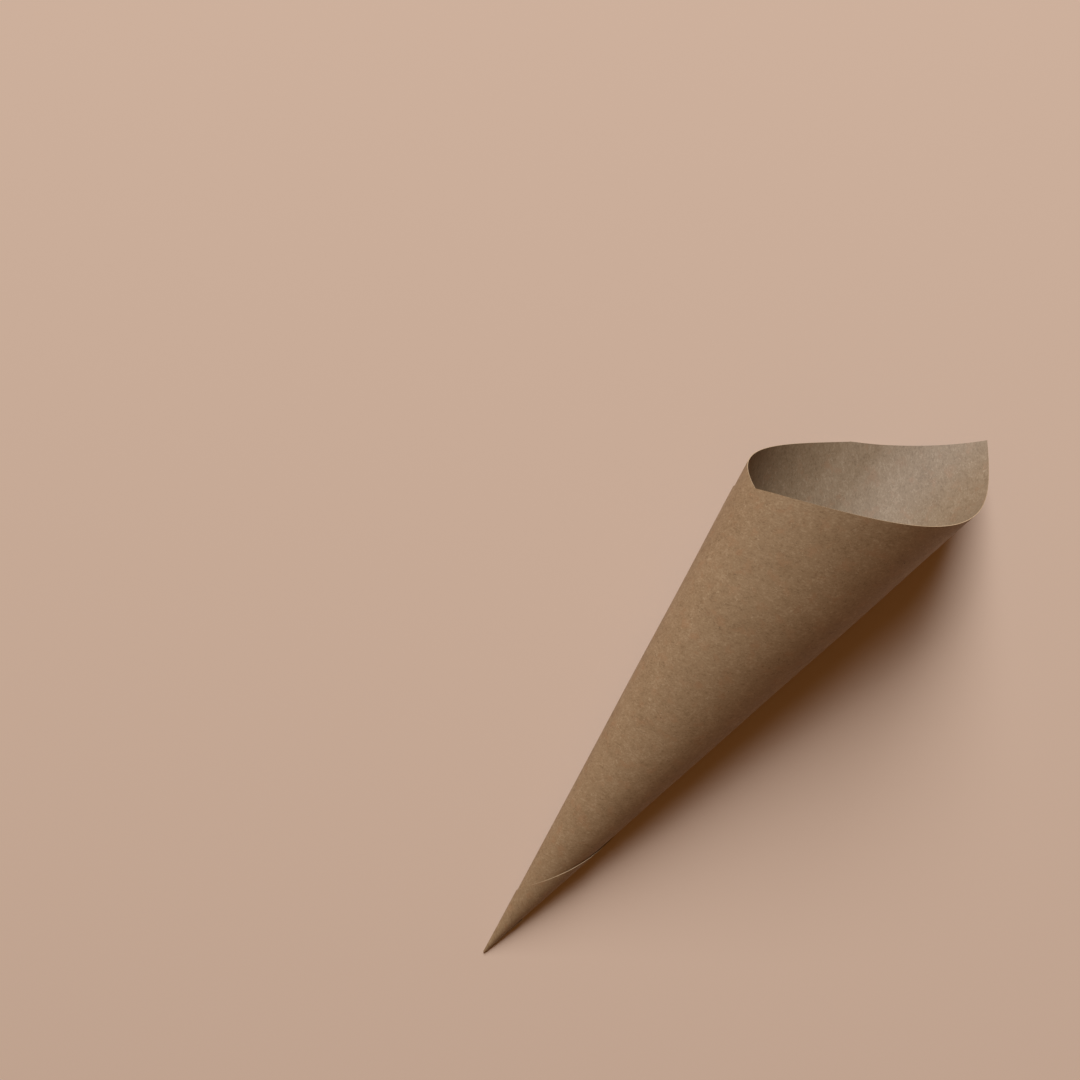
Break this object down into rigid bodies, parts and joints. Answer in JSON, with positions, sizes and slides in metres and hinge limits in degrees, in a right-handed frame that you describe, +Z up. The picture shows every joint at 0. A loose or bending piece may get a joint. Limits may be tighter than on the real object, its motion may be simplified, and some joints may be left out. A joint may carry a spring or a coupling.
{
  "type": "kraft paper cone",
  "caption": "Open cone rolled from a single sheet of kraft paper, lying on its side, with an overlapping wall, a pointed tip and a raised sheet corner at the mouth.",
  "frame": {"origin": "under the middle of the cone's box, on the surface that it lies on", "axes": "+Y from the tip towards the open mouth, +Z up, -X towards the side where the overlapping layers cross at the rim"},
  "size_m": [0.0796, 0.2812, 0.0605],
  "materials": {
    "kraft_paper": "matt, unbleached, with fine fibres"
  },
  "bodies": {
    "root": {"paper_cone": "kraft_paper"}
  },
  "joints": []
}
